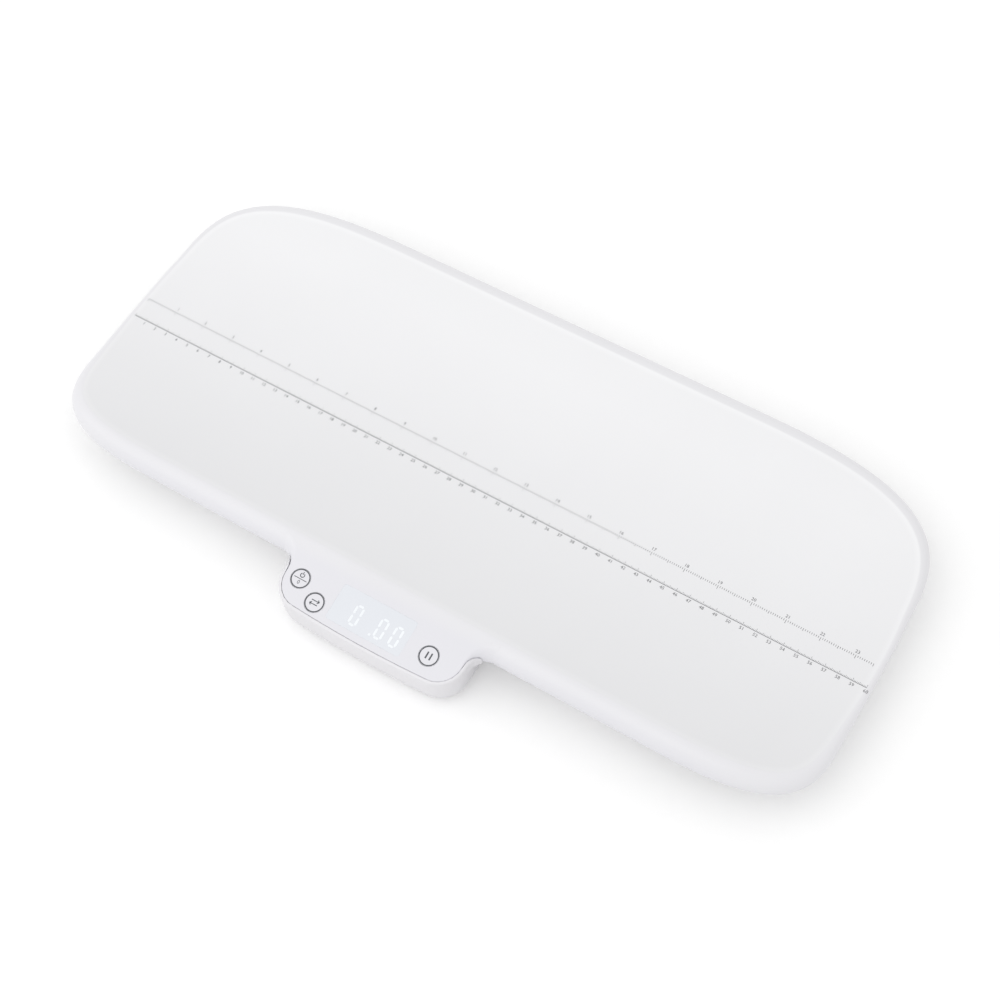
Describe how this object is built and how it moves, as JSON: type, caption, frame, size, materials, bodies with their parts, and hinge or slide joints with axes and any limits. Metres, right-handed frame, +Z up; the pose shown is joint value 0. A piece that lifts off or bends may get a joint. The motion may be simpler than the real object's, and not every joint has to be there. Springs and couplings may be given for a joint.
{
  "type": "digital baby weighing scale",
  "caption": "Digital baby weighing scale: a shallow trough tray with a rolled rim, a front console with push keys and a display, a base on weighing feet, and a hinged battery door.",
  "frame": {"origin": "on the table, below the middle of the whole scale", "axes": "+X along the tray to the right as seen from the console, +Y from the console to the back, +Z up"},
  "size_m": [0.61, 0.2994, 0.041],
  "materials": {
    "tray_plastic": "smooth satin white",
    "base_plastic": "smooth satin white",
    "window_plastic": "translucent white gloss",
    "diffuser_film": "matte film",
    "module_plastic": "matte white",
    "segment_plastic": "clear resin, lit from below",
    "key_plastic": "smooth satin white",
    "plunger_plastic": "matte",
    "black_plastic": "matte",
    "board_green": "solder resist",
    "part_metal": "satin",
    "socket_plastic": "matte",
    "battery_jacket": "satin jacket",
    "contact_steel": "plated",
    "cell_steel": "zinc plated",
    "screw_steel": "plated",
    "foot_plastic": "matte",
    "pad_rubber": "matte",
    "gauge_coat": "silicone coat",
    "lead_white": "insulated wire",
    "lead_red": "insulated wire"
  },
  "bodies": {
    "scale": {"tray_shell": "tray_plastic", "base_shell": "base_plastic", "display_window": "window_plastic", "display_diffuser": "diffuser_film", "display_module": "module_plastic", "display_segments": "segment_plastic", "key_switches": "black_plastic", "main_board": "board_green", "control_chip": "black_plastic", "weighing_chip": "black_plastic", "board_parts": "part_metal", "lead_sockets": "socket_plastic", "batteries": "battery_jacket", "battery_springs": "contact_steel", "battery_plates": "contact_steel", "battery_lead": "lead_red", "load_cell_front_left": "cell_steel", "load_cell_front_right": "cell_steel", "load_cell_back_left": "cell_steel", "load_cell_back_right": "cell_steel", "foot_cup_front_left": "foot_plastic", "foot_cup_front_right": "foot_plastic", "foot_cup_back_left": "foot_plastic", "foot_cup_back_right": "foot_plastic", "foot_pad_front_left": "pad_rubber", "foot_pad_front_right": "pad_rubber", "foot_pad_back_left": "pad_rubber", "foot_pad_back_right": "pad_rubber", "foot_rivets": "screw_steel", "strain_gauges": "gauge_coat", "cell_lead_front_left": "lead_white", "cell_lead_front_right": "lead_white", "cell_lead_back_left": "lead_white", "cell_lead_back_right": "lead_white", "housing_screws": "screw_steel", "board_screws": "screw_steel", "cell_screws": "screw_steel"},
    "power_tare_key": {"key_power_tare": "key_plastic", "plunger_power_tare": "plunger_plastic"},
    "unit_key": {"key_unit": "key_plastic", "plunger_unit": "plunger_plastic"},
    "hold_key": {"key_hold": "key_plastic", "plunger_hold": "plunger_plastic"},
    "door": {"battery_door": "base_plastic"}
  },
  "joints": [
    {"name": "press_power_tare", "type": "slide", "parent": "scale", "child": "power_tare_key", "axis": [0, 0.1736, -0.9848], "range_m": [0, 0.0005], "stiffness_N_per_m": 900, "springref_m": -0.0003},
    {"name": "press_unit", "type": "slide", "parent": "scale", "child": "unit_key", "axis": [0, 0.1736, -0.9848], "range_m": [0, 0.0005], "stiffness_N_per_m": 900, "springref_m": -0.0003},
    {"name": "press_hold", "type": "slide", "parent": "scale", "child": "hold_key", "axis": [0, 0.1736, -0.9848], "range_m": [0, 0.0005], "stiffness_N_per_m": 900, "springref_m": -0.0003},
    {"name": "door_hinge", "type": "hinge", "parent": "scale", "child": "door", "pos_m": [-0.004, 0.0264, 0.0074], "axis": [-1, 0, 0], "range_deg": [0, 85]}
  ]
}
